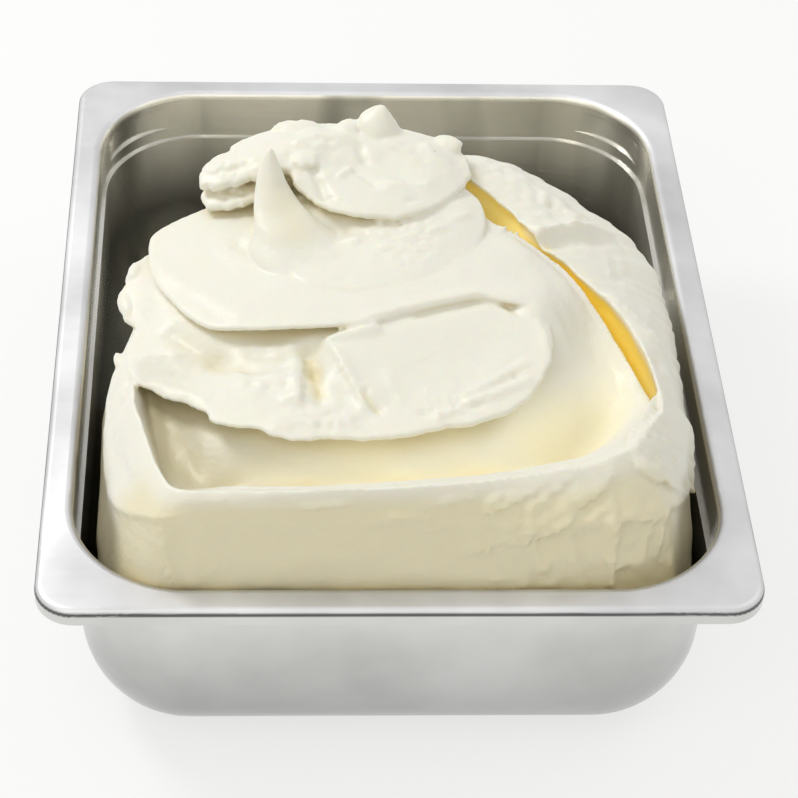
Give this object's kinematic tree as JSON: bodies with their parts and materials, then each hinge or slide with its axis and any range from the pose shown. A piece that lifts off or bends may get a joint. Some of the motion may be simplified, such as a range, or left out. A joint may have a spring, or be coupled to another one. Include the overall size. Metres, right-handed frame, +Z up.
{
  "type": "gelato pan",
  "caption": "Rectangular pressed stainless pan with a turned-down rim and stacking shoulder, filled with pale gelato spread in lapping folds that rise to a peak",
  "frame": {"origin": "middle of the pan's footprint, on the surface it stands on", "axes": "+X across the pan's shorter side, +Y along its longer side towards the open corner behind the gelato, +Z up"},
  "size_m": [0.265, 0.325, 0.172],
  "materials": {
    "steel": "satin pressed stainless with fine scratches",
    "gelato": "smooth moist cream, spread with a spatula"
  },
  "bodies": {
    "root": {"pan": "steel", "gelato": "gelato"}
  },
  "joints": []
}
